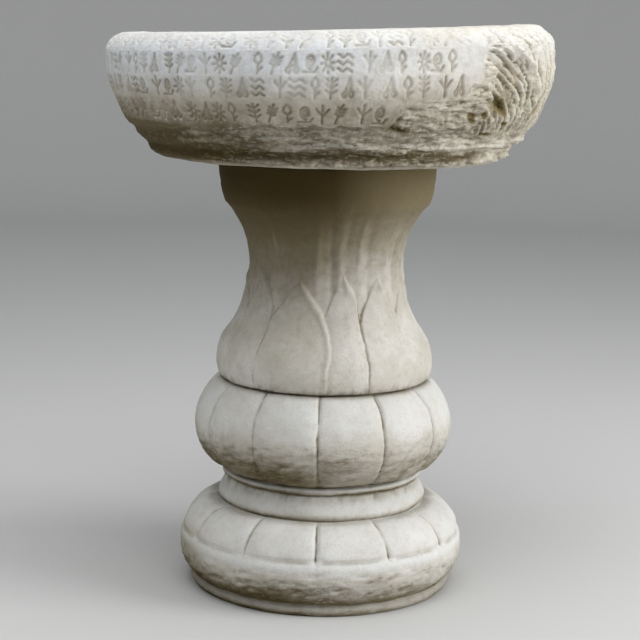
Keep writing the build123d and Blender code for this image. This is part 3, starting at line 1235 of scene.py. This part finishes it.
@dataclass
class Pedestal(Casting):
    """Baluster: petals round the foot, a lobed bulb, leaves up the bell, reeds on the neck.

    The tables give radius and height in millimetres.
    """

    columns: int = 300
    step: float = 2.5 * MM
    sectors: int = 12
    first_groove: float = -2.0
    crowding: float = 1.45  # above 1, the columns stand closer towards the grooves
    plinth: tuple[Point, ...] = ((136.8, 2.5), (137.8, 5.5), (137.6, 8.5), (134.0, 11.6), (138.6, 14.0))
    roll_head: Point = (147.8 * MM, 56 * MM)
    roll_crown: float = 6.2 * MM
    petal_bottom: float = 58 * MM
    petal_top: float = 90 * MM
    petal_crown: float = 8.2 * MM
    collar: tuple[Point, ...] = (
        (107.9, 91.5), (109.2, 95.5), (108.0, 101), (104.6, 108), (103.0, 114.2), (100.8, 116.6),
    )
    bead: tuple[Point, ...] = ((103.6, 117.4), (106.0, 119.6), (106.3, 121.8), (104.2, 124.0), (100.6, 124.9))
    bulb_bottom: float = 126 * MM
    bulb_top: float = 219 * MM
    bulb_crown: float = 27.5 * MM
    shadow_line: tuple[Point, ...] = ((103.4, 220.3), (104, 221.6), (108.5, 222.8))
    hem: float = 222 * MM
    bell_side: tuple[Point, ...] = (
        (110.5, 227.5), (112, 240), (107.4, 260), (94, 280), (85.8, 300), (81.8, 320),
        (80, 342), (82.8, 365), (89, 381), (97.5, 395), (103.5, 402.5),
    )
    cap_side: tuple[Point, ...] = ((109.7, 415), (112.4, 430), (113.5, 445))
    leaf_reach: float = 113 * MM
    first_leaf: float = -104.0
    leaf_widths: tuple[float, ...] = (38, 28, 41, 20, 34, 31, 30, 30, 28, 26, 27, 27)
    leaf_folds: tuple[float, ...] = (0.3, 0.15, 1.0, 0.0, 0.5, 0.1, 0.9, 0.2, 0.6, 0.0, 0.8, 0.3)
    full_tuck: float = 4.5  # how far a leaf runs on under a neighbour that is folded up all the way
    shaded_foot: float = -100.0  # azimuth of the side where the foot gets painted shade
    # height in millimetres, and how dark the bell and the cap are there: the bowl's shadow painted on, with
    # some soiling
    upper_stain_and_shade: tuple[Point, ...] = (
        (262, 0.0), (298, 0.12), (326, 0.42), (354, 0.76), (386, 0.94), (450, 1.0),
    )
    core_foot: float = 92 * MM
    core_head: float = 44 * MM
    core_top: float = 386 * MM

    def __post_init__(self) -> None:
        """Take the places that other pieces depend on from the CAD model, and lay out the leaves."""
        self.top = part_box(self.node)[1].z
        sleeve_low, sleeve_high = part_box("pedestal_sleeve")
        self.socket_radius, self.socket_bottom = sleeve_high.x, sleeve_low.z
        self.leaves = []
        left = self.first_leaf
        for number, (width, fold) in enumerate(zip(self.leaf_widths, self.leaf_folds)):
            reach = self.leaf_reach * (1 + 0.03 * math.sin(2.4 * number))
            tucked = self.full_tuck * self.leaf_folds[number - 1]
            self.leaves.append(Leaf(left, left + width, reach, fold, tucked))
            left += width

    def shape(self, mesh: bmesh.types.BMesh) -> None:
        """Spin the half section, crowd its columns towards the grooves, and refine the leaves' edges.

        Args:
            mesh: Empty mesh to build in.
        """
        outline = Outline(mesh, self.step)
        outline.line(0, self.core_top).line(self.core_head - 14 * MM, self.core_top, 15 * MM)
        outline.arc(self.core_head + 1.5 * MM, self.core_top - 13 * MM, -5 * MM, 5 * MM)
        outline.line(self.core_foot, 0, 40 * MM).line(self.plinth[0][0] * MM - 2.5 * MM, 0, 20 * MM)
        for point in metres(self.plinth):
            outline.line(*point)
        outline.arc(*self.roll_head, self.roll_crown)
        outline.line(self.roll_head[0] - 1.6 * MM, self.petal_bottom + 1 * MM)
        outline.arc(self.collar[0][0] * MM - 1.1 * MM, self.petal_top, self.petal_crown)
        outline.curve(metres(self.collar)).curve(metres(self.bead), 1.5 * MM)
        outline.line(104.4 * MM, self.bulb_bottom, 1.5 * MM).arc(108 * MM, self.bulb_top, self.bulb_crown)
        for point in metres(self.shadow_line):
            outline.line(*point, 1.5 * MM)
        outline.curve(metres(self.bell_side))
        outline.line(106.2 * MM, 405 * MM).curve(metres(self.cap_side), 3.5 * MM)
        outline.arc(110 * MM, self.top, 1.2 * MM, 1.5 * MM).line(self.socket_radius, self.top, 16 * MM)
        outline.line(self.socket_radius, self.socket_bottom, 18 * MM).line(0, self.socket_bottom, 12 * MM)
        outline.spin(self.columns)
        self._crowd(mesh)
        self._refine(mesh, 5.0 * MM)

    def _crowd(self, mesh: bmesh.types.BMesh) -> None:
        """Turn the foot's and the bulb's columns towards their grooves, where detail is finest.

        Args:
            mesh: The spun mesh.
        """
        sector = 360.0 / self.sectors
        for vert in mesh.verts:
            share = 1.0 - min(max((vert.co.z - self.hem) / (25 * MM), 0.0), 1.0)
            if share == 0.0 or math.hypot(vert.co.x, vert.co.y) < self.core_foot:
                continue
            azimuth = math.degrees(math.atan2(vert.co.x, -vert.co.y)) - self.first_groove
            offset = (azimuth + sector / 2) % sector - sector / 2
            moved = math.copysign((2 * abs(offset) / sector) ** self.crowding * sector / 2, offset)
            vert.co.rotate(Euler((0.0, 0.0, math.radians(share * (moved - offset)))))

    def _refine(self, mesh: bmesh.types.BMesh, reach: float) -> None:
        """Halve the faces along the leaves' outlines.

        Args:
            mesh: The spun mesh.
            reach: How far to either side of an outline.
        """
        x, y, z = np.array([face.calc_center_median() for face in mesh.faces]).T
        azimuth, radius, climb = np.degrees(np.arctan2(x, -y)), np.hypot(x, y), z - self.hem
        nearest = np.min([abs(leaf.inside(azimuth, climb, radius)) for leaf in self.leaves], axis=0)
        on_bell = (climb > 0) & (climb < 1.04 * self.leaf_reach) & (radius > self.core_head * 1.6)
        halve(mesh, [face for face, chosen in zip(mesh.faces, (nearest < reach) & on_bell) if chosen])

    def carve(self, relief: Relief) -> None:
        """Cut petals, lobes, leaves and reeds, and wear them down.

        Args:
            relief: The pedestal's smooth surface.
        """
        z, sector = relief.height, 360.0 / self.sectors
        outside = relief.radius > self.core_foot * (1 - 0.6 * ease(z, 0.0, self.core_top))
        wander = relief.grain(Grain.LINE_WANDER)
        worn = np.clip(0.9 + 0.6 * relief.grain(Grain.PEDESTAL_WEAR), 0.25, 1.3)
        offset = (turn_between(relief.azimuth, self.first_groove) + sector / 2) % sector - sector / 2
        gap = np.radians(offset) * relief.radius + 0.8 * MM * wander
        corner = abs(offset) / (sector / 2) - 1.0
        pillow = 1 - corner**4

        hem_line = self.petal_bottom + 1.5 * MM + 3.5 * MM * corner**8
        low, high = self.petal_bottom, self.petal_top
        petals = between(z, low - 1 * MM, low + 3 * MM, high - 2 * MM, high + 1 * MM)
        relief.push += petals * (1.7 * MM * pillow - 1.9 * MM * worn * channel(gap, 2.5 * MM))
        relief.darken_cuts(0.5 * petals * worn * channel(gap, 1.8 * MM))
        relief.push -= 0.9 * MM * bell(z, hem_line, 1.8 * MM) * worn * outside
        relief.push += 0.8 * MM * bell(z, self.petal_bottom - 5 * MM, 4.0 * MM) * outside

        low, high = self.bulb_bottom, self.bulb_top
        lobes = between(z, low + 1 * MM, low + 8 * MM, high - 2 * MM, high + 3 * MM) * outside
        flare = 2.3 * MM + 2.4 * MM * ease(z, low + 26 * MM, low)
        relief.push += lobes * (2.1 * MM * pillow - 1.8 * MM * worn * channel(gap, flare))
        relief.darken_cuts(0.4 * lobes * worn * channel(gap, 0.6 * flare))
        relief.push -= 1.6 * MM * corner**8 * bell(z, low + 1 * MM, 4 * MM) * outside
        relief.push += self._leaves(relief, worn, wander) * outside
        relief.push -= 0.5 * MM * bell(z, self.top - 24 * MM, 1.8 * MM) * outside

        belly = np.maximum(bell(z, 30 * MM, 17 * MM), 0.8 * bell(z, low + 24 * MM, 18 * MM)) * outside
        chips = ease(relief.grain(Grain.CHIPS), 0.15, 0.85)
        relief.push += 0.7 * MM * relief.grain(Grain.PEDESTAL_SWELL) * outside
        relief.push += (0.14 * MM + 0.42 * MM * belly) * relief.grain(Grain.PEDESTAL_SKIN) * outside
        relief.push -= 1.0 * MM * chips * belly
        relief.apply(1.8 * MM)
        self._weather(relief, chips * belly, outside)

    def _leaves(self, relief: Relief, worn: np.ndarray, wander: np.ndarray) -> np.ndarray:
        """Model the leaves up the bell, and the reeds behind their tips.

        Args:
            relief: The pedestal's smooth surface.
            worn: How sharp the carving still is at each vertex.
            wander: How far each line strays there.

        Returns:
            Height over the smooth form.
        """
        climb, radius = relief.height - self.hem, relief.radius
        azimuth = relief.azimuth + 0.9 * wander
        height = -1.3 * MM * worn * ease(climb, 0.86 * self.leaf_reach, 0.6 * self.leaf_reach)
        covered = np.zeros(len(climb))
        for leaf in self.leaves:
            inner = leaf.inside(azimuth, climb, radius)
            off = np.radians(turn_between(azimuth, leaf.middle)) * radius
            span = climb / leaf.reach
            on = ease(inner, -1.4 * MM, 1.3 * MM)
            right, tip = ease(off, -1.5 * MM, 3 * MM), ease(span, 0.70, 0.90)
            lifted = np.maximum(leaf.fold * ease(span, -0.06, 0.30), tip)
            fold = bell(inner, 3.4 * MM, 3.2 * MM) * right * lifted * ease(span, 1.03, 0.95)
            tuck = np.exp(-np.maximum(inner, 0) / (7 * MM)) * (1 - right) * ease(span, 0.95, 0.7)
            tuck *= leaf.tucked / self.full_tuck
            vein = bell(off, -1 * MM, 2.2 * MM) * bell(span, 0.6, 0.16)
            own = on * (1.1 + 0.9 * np.clip(inner / (12 * MM), 0, 1) + 1.6 * fold - 0.8 * tuck - 0.5 * vein)
            line = channel(inner, 1.7 * MM) * (1 - 0.9 * right * lifted) * ease(span, 0.92, 0.78)
            own = MM * (own - 1.3 * worn * line)
            shown = (inner > -1.4 * MM) & (own > height) & (climb > -2 * MM)
            height = np.where(shown, own, height)
            # A dark line along the leaf's outline: soiling in the cut, with painted shade.
            relief.cut_grime_and_shade = np.where(shown, 0.6 * worn * line * ease(climb, -1 * MM, 4 * MM), relief.cut_grime_and_shade)
            covered = np.maximum(covered, on)
        height *= ease(climb, -3 * MM, 5 * MM)
        for leaf in self.leaves:
            across = np.radians(turn_between(azimuth, leaf.right)) * radius
            span = climb / leaf.reach
            rise = between(span, 0.74, 0.88, 1.35, 1.75) * (1 - covered)
            sign = 1.0 if leaf.fold > 0.2 else -1.0
            reeds = 1.3 * bell(abs(across + 1 * MM), 12 * MM, 4.2 * MM)
            reeds -= 1.5 * bell(across, 1.5 * MM, 3.2 * MM)
            height += sign * MM * reeds * rise * worn
        return height * (climb > -2 * MM) * (relief.height < self.top - 30 * MM)

    def _weather(self, relief: Relief, chips: np.ndarray, outside: np.ndarray) -> None:
        """Keep where the stone has stains and where it is bleached, with the bowl's shadow painted on the cap
        and the neck, painted shade on the undersides, in the creases and on the side away from the right-hand
        light, and a painted highlight on the roll's lip.

        Args:
            relief: The pedestal's carved surface.
            chips: How deep each vertex lies in a chip, from 0 to 1.
            outside: 1 on the outer surface, 0 in the core and the socket.
        """
        z, facing, below = relief.height, relief.facing, relief.height < self.hem
        patches, streaks = relief.grain(Grain.PEDESTAL_PATCHES), relief.grain(Grain.STREAKS)
        shaded_side = ease(toward(relief.azimuth, LIT_AZIMUTH), 0.85, -0.15)  # away from the right-hand light, where painted shade is laid
        levels, shares = np.array(self.upper_stain_and_shade).T
        # Painted shadow of the bowl on the cap and the neck, reaching lower on the side away from the
        # right-hand light, with some soiling; below the hem, the undersides get painted shade with soiling.
        stain_and_shade = np.interp(z + 36 * MM * (shaded_side - 0.66) + 5 * MM * patches, levels * MM, shares)
        stain_and_shade += below * ease(facing, 0.22, -0.74) * (0.6 + 0.16 * shaded_side + 0.22 * patches) + 0.25 * chips
        # level, height over it and half width in millimetres, strength, and what breaks the ring up; the thin
        # rings under the collar, the bead, the bulb and the hem are painted shade in the creases, with some
        # soiling, and the broken ones are streaky stains
        crease_shade_and_stain_rings = (
            (0.0, 10, 9, 0.5, 1.0),
            (self.petal_top, 1, 1.6, 0.35, 1.0),
            (self.bulb_bottom, -13, 5, 0.28, ease(streaks, 0.0, 0.6)),
            (self.bulb_bottom, -11, 6, 0.3, 0.5 + patches),
            (self.bulb_bottom, -9.6, 1.4, 0.5, 1.0),
            (self.bulb_bottom, -0.6, 1.6, 0.7, 1.0),
            (self.hem, -1, 2.4, 0.65, 1.0),
            (self.hem, 3, 4, 0.4, ease(streaks, -0.1, 0.5)),
        )
        for level, over, width, strength, broken in crease_shade_and_stain_rings:
            stain_and_shade += strength * bell(z, level + over * MM, width * MM) * broken
        # The roll's top lip is kept clean and pale: a painted highlight, with rain bleaching.
        lip = bell(z, self.petal_bottom - 5 * MM, 6 * MM)
        stain_and_shade *= 1 - 0.85 * lip
        under = ease(relief.radius, 60 * MM, 20 * MM) * (z > self.core_top)
        relief.layer("stain_and_shade", np.where(outside, stain_and_shade, 0.35 + 0.2 * patches) * (1 - 0.6 * under))
        washed = ease(facing, -0.15, 0.45) * below * (0.75 + 0.25 * patches)
        relief.layer("bleach", (washed + 0.6 * lip) * outside)
        # Painted shadow of the bowl on the cap, heavier away from the right-hand light, and painted shade on
        # the undersides on that side and on the left of the foot.
        shade_and_grime = ease(z, self.top - 92 * MM, self.top - 22 * MM) * np.clip(1.8 * shaded_side, 0, 1)
        shade_and_grime += 0.7 * below * ease(facing, -0.1, -0.6) * ease(shaded_side, 0.55, 1.0)
        foot_shade = ease(toward(relief.azimuth, self.shaded_foot), 0.5, 0.95) * (z < self.petal_top)
        shade_and_grime += 0.55 * below * foot_shade * ease(facing, 0.9, -0.05)
        relief.layer("shade_and_grime", np.maximum(shade_and_grime, relief.cut_grime_and_shade) * outside * (1 - under))
        undersides = below * ease(facing, 0.25, -0.25)
        relief.layer("crumble", undersides * (0.45 + 0.5 * chips + 0.3 * patches) * outside * (1 - lip))


@dataclass
class Hardware:
    """The dowel, its two sleeves and the bearing pad: CAD shapes that only need a finish."""

    finishes: dict[str, BrushedSteel | Moulded] = field(
        default_factory=lambda: {
            "locating_dowel": STEEL,
            "pedestal_sleeve": SLEEVE_PLASTIC,
            "bowl_sleeve": SLEEVE_PLASTIC,
            "bearing_pad": NEOPRENE,
        }
    )

    def build(self) -> None:
        """Give each node its finish."""
        for node, finish in self.finishes.items():
            material = finish.material(f"{node}_finish")
            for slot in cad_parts[node].material_slots:
                slot.material = material
            LOG.info("%s: dressed with %s", node, material.name)


# ---------------------------------------------------------------- studio


@dataclass(frozen=True)
class SoftBox:
    """Square area light."""

    name: str
    place: Place
    size: float
    watts: float
    aim: Place = (0.0, 0.0, 0.32)

    def build(self) -> None:
        """Hang the light and turn it towards its aim."""
        data = bpy.data.lights.new(self.name, "AREA")
        data.size, data.energy = self.size, self.watts
        light = new_object(self.name, data)
        light.location = self.place
        light.rotation_euler = (Vector(self.aim) - Vector(self.place)).to_track_quat("-Z", "Y").to_euler()


@dataclass
class Studio:
    """Pale floor that curves up into a wall, soft light from three sides, and the camera."""

    lens: float = 98.3
    film: float = 36.0
    far: float = 60.0
    distance: float = 1814.7 * MM
    eye: float = 597.8 * MM
    sideways: float = -5.1 * MM
    pitch: float = 9.95
    roll: float = 1.15
    floor_radius: float = 3.2
    bend: float = 1.0
    wall_top: float = 2.6
    columns: int = 96
    paper: Colour = (0.56, 0.56, 0.55)
    sky: Colour = (0.84, 0.87, 0.90)
    sky_strength: float = 0.44
    lights: tuple[SoftBox, ...] = (
        SoftBox("overhead", (0.0, -0.7, 2.4), 2.0, 42.0),
        SoftBox("right", (2.3, -0.7, 1.1), 1.3, 49.0),
        SoftBox("left", (-1.8, -1.3, 1.7), 1.4, 5.0),
    )

    def build(self) -> None:
        """Make the floor, the light and the camera."""
        self._cove()
        for light in self.lights:
            light.build()
        world = bpy.data.worlds.new("studio")
        world.use_nodes = True
        background = world.node_tree.nodes["Background"]
        background.inputs["Color"].default_value = (*self.sky, 1.0)
        background.inputs["Strength"].default_value = self.sky_strength
        bpy.context.scene.world = world
        bpy.context.scene.view_settings.view_transform = "Standard"
        self._camera()

    def _cove(self) -> None:
        """Spin the floor and its wall in one sheet."""
        form = bmesh.new()
        outline = Outline(form, 0.15)
        outline.line(0, 0).line(self.floor_radius, 0, 1.0)
        wall, corner = self.floor_radius + self.bend, self.bend * (1 - math.cos(math.pi / 4))
        outline.arc(wall, self.bend, corner).line(wall, self.wall_top, 1.0)
        outline.spin(self.columns)
        bmesh.ops.reverse_faces(form, faces=[face for face in form.faces if face.normal.z < -0.01])
        mesh = finished_mesh("cove", form)
        mesh.shade_smooth()
        g = Graph("cove_paper")
        tone = g.mix(g.noise(0.5), self.paper, tuple(0.97 * c for c in self.paper))
        mesh.materials.append(g.finish(Base_Color=tone, Roughness=0.9))
        new_object("cove", mesh)

    def _camera(self) -> None:
        """Long lens a little above the rim, looking slightly down."""
        data = bpy.data.cameras.new("camera")
        data.lens, data.sensor_width, data.clip_end = self.lens, self.film, self.far
        camera = new_object("camera", data)
        turn = Matrix.Rotation(math.radians(90 - self.pitch), 4, "X")
        turn @= Matrix.Rotation(math.radians(self.roll), 4, "Z")
        camera.matrix_world = Matrix.Translation((self.sideways, -self.distance, self.eye)) @ turn
        bpy.context.scene.camera = camera


def main() -> None:
    """Build the castings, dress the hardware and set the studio."""
    logging.basicConfig(level=logging.INFO, format="%(name)s: %(message)s")
    for casting in (
        Pedestal("pedestal", "pedestal", "pedestal_stone", PEDESTAL_STONE),
        Bowl("bowl", "bowl", "bowl_stone", BOWL_STONE),
    ):
        piece = casting.build()
        triangles = sum(len(face.vertices) - 2 for face in piece.data.polygons)
        LOG.info("%s: %d triangles", piece.name, triangles)
    Hardware().build()
    Studio().build()


if __name__ == "__main__":
    main()
